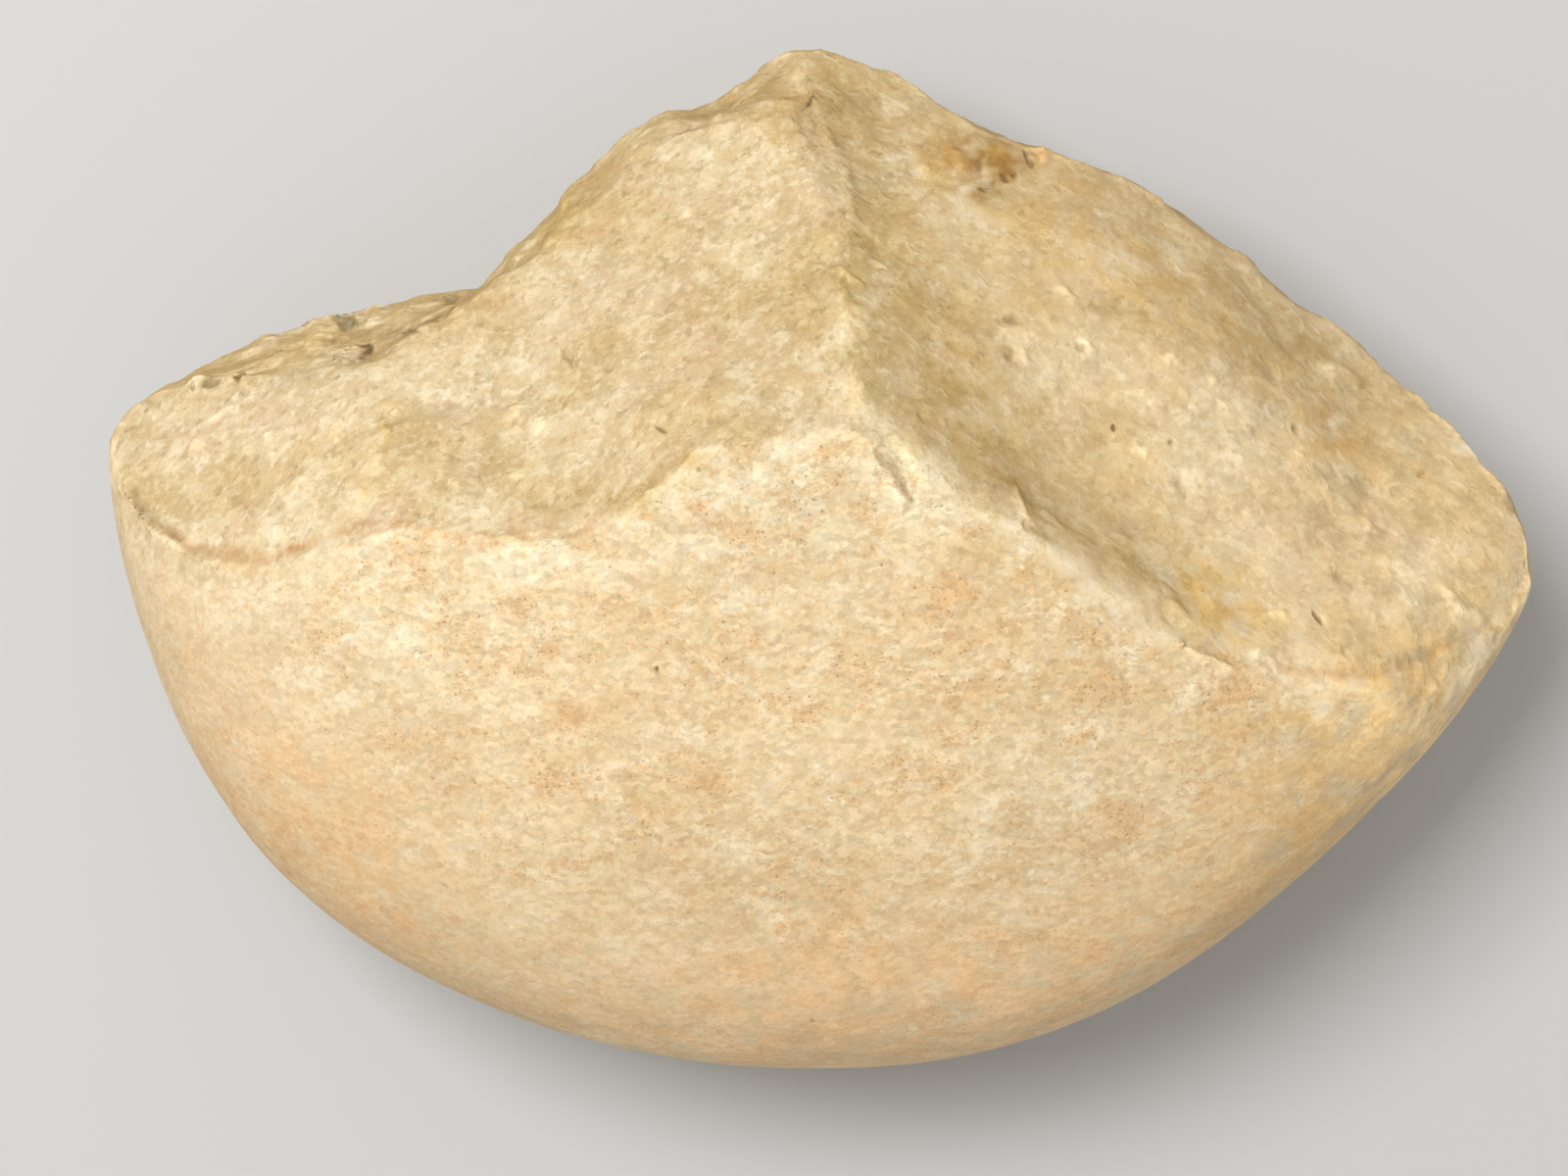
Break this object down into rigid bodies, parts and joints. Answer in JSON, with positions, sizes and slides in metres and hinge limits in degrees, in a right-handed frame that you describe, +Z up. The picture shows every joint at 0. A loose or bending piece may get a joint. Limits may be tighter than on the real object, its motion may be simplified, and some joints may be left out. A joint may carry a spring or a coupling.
{
  "type": "pebble chopper",
  "caption": "Half-round water-worn cobble with broad flake scars that meet at a ridge and a steep struck edge along one side, held in the hand for chopping.",
  "frame": {"origin": "centre of the underside of the stone's box, at the level of the flat it rests on", "axes": "+X along the stone's length, to the right as the picture shows it; +Y from the round butt towards the struck edge; +Z up, out of the face with the broad scars"},
  "size_m": [0.1202, 0.0866, 0.0516],
  "materials": {
    "quartzite": "smooth water-worn rind, with grainier, slightly darker flake scars"
  },
  "bodies": {
    "root": {"chopper": "quartzite"}
  },
  "joints": []
}
